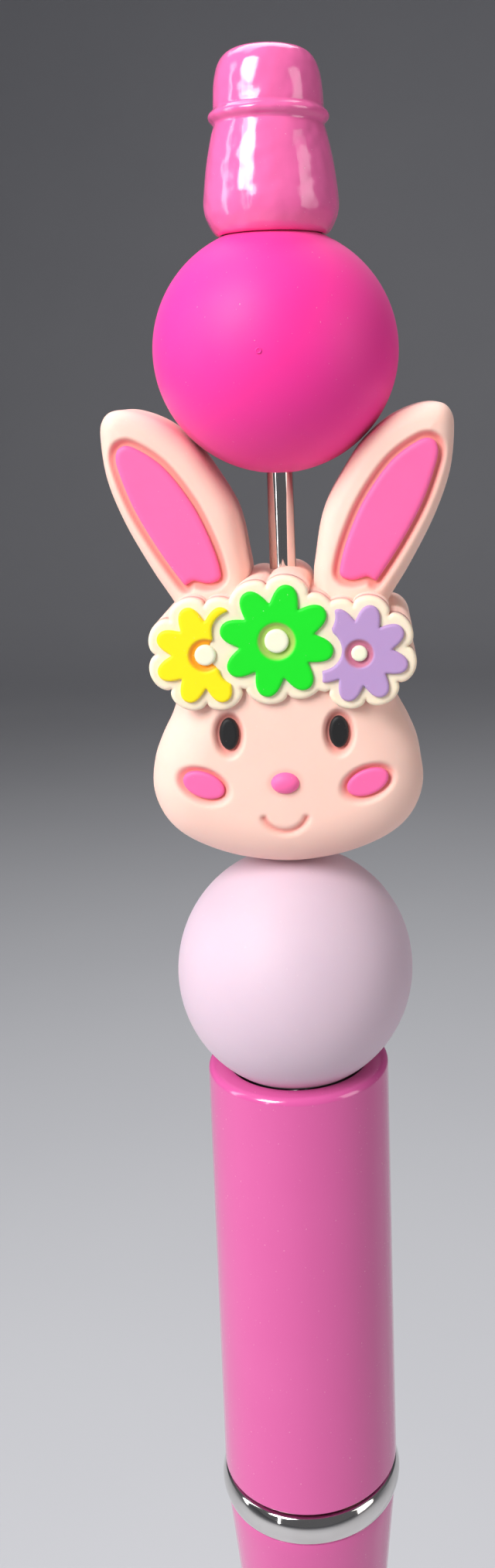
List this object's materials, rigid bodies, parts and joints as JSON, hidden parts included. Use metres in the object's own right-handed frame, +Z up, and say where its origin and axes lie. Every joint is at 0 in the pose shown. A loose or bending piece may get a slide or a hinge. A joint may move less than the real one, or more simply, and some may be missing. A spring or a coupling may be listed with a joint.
{
  "type": "beadable twist ballpoint pen",
  "caption": "Twist ballpoint pen with a thin rod above its barrel that carries round silicone beads, a rabbit-head focal bead and a screw-on end cap.",
  "frame": {"origin": "centre of the nose cone's end, the lowest point with the refill drawn in", "axes": "+Z up along the pen towards the end cap, -Y the way the rabbit faces, +X to the viewer's right when facing the rabbit"},
  "size_m": [0.0214, 0.015, 0.1499],
  "materials": {
    "pink_gloss": "glossy moulded plastic",
    "cap_gloss": "glossy moulded plastic",
    "chrome": "polished",
    "steel": "satin",
    "brass": "turned",
    "white_plastic": "moulded",
    "refill_plastic": "smooth",
    "ink": "wet",
    "lilac_silicone": "matte silicone",
    "pink_silicone": "matte silicone",
    "peach_silicone": "matte silicone",
    "inlay_silicone": "matte silicone",
    "cream_silicone": "matte translucent silicone",
    "yellow_silicone": "matte silicone",
    "green_silicone": "matte silicone",
    "lavender_silicone": "matte silicone",
    "white_silicone": "matte silicone",
    "black_silicone": "satin silicone"
  },
  "bodies": {
    "lower_barrel": {"lower_barrel": "pink_gloss", "nose_cone": "chrome", "centre_ring": "chrome", "centre_bush": "brass", "guide_tube": "steel"},
    "upper_barrel": {"upper_barrel": "pink_gloss", "rod_plug": "steel", "rod": "chrome", "cam_sleeve": "white_plastic"},
    "refill": {"carriage": "white_plastic", "carriage_pin": "steel", "refill_tube": "refill_plastic", "refill_ink": "ink", "refill_tip": "brass"},
    "writing_ball": {"writing_ball": "steel"},
    "lilac_bead": {"lilac_bead": "lilac_silicone"},
    "rabbit": {"rabbit_head": "peach_silicone", "ear_inlay_left": "inlay_silicone", "ear_inlay_right": "inlay_silicone", "crown_plate": "cream_silicone", "flower_yellow": "yellow_silicone", "flower_green": "green_silicone", "flower_lavender": "lavender_silicone", "flower_centres": "white_silicone", "eye_left": "black_silicone", "eye_right": "black_silicone", "cheek_left": "inlay_silicone", "cheek_right": "inlay_silicone", "nose": "inlay_silicone"},
    "pink_bead": {"pink_bead": "pink_silicone"},
    "end_cap": {"end_cap": "cap_gloss", "cap_insert": "brass"}
  },
  "joints": [
    {"name": "twist", "type": "hinge", "parent": "lower_barrel", "child": "upper_barrel", "pos_m": [0, 0, 0.059], "axis": [0, 0, 1], "range_deg": [0, 180]},
    {"name": "refill_slide", "type": "slide", "parent": "lower_barrel", "child": "refill", "axis": [0, 0, -1], "range_m": [0, 0.005]},
    {"name": "ball_roll", "type": "hinge", "parent": "refill", "child": "writing_ball", "pos_m": [0, 0, 0.0025], "axis": [1, 0, 0], "continuous": true},
    {"name": "lilac_bead_turn", "type": "hinge", "parent": "upper_barrel", "child": "lilac_bead", "pos_m": [0, 0, 0.0929], "axis": [0, 0, 1], "continuous": true},
    {"name": "rabbit_turn", "type": "hinge", "parent": "upper_barrel", "child": "rabbit", "pos_m": [0, 0, 0.109], "axis": [0, 0, 1], "continuous": true},
    {"name": "pink_bead_turn", "type": "hinge", "parent": "upper_barrel", "child": "pink_bead", "pos_m": [0, 0, 0.1319], "axis": [0, 0, 1], "continuous": true},
    {"name": "cap_pull", "type": "slide", "parent": "upper_barrel", "child": "end_cap", "axis": [0, 0, 1], "range_m": [0, 0.012]}
  ],
  "couplings": [
    {"joint": "twist", "follows": "refill_slide", "rad_per_m": 628.32}
  ]
}
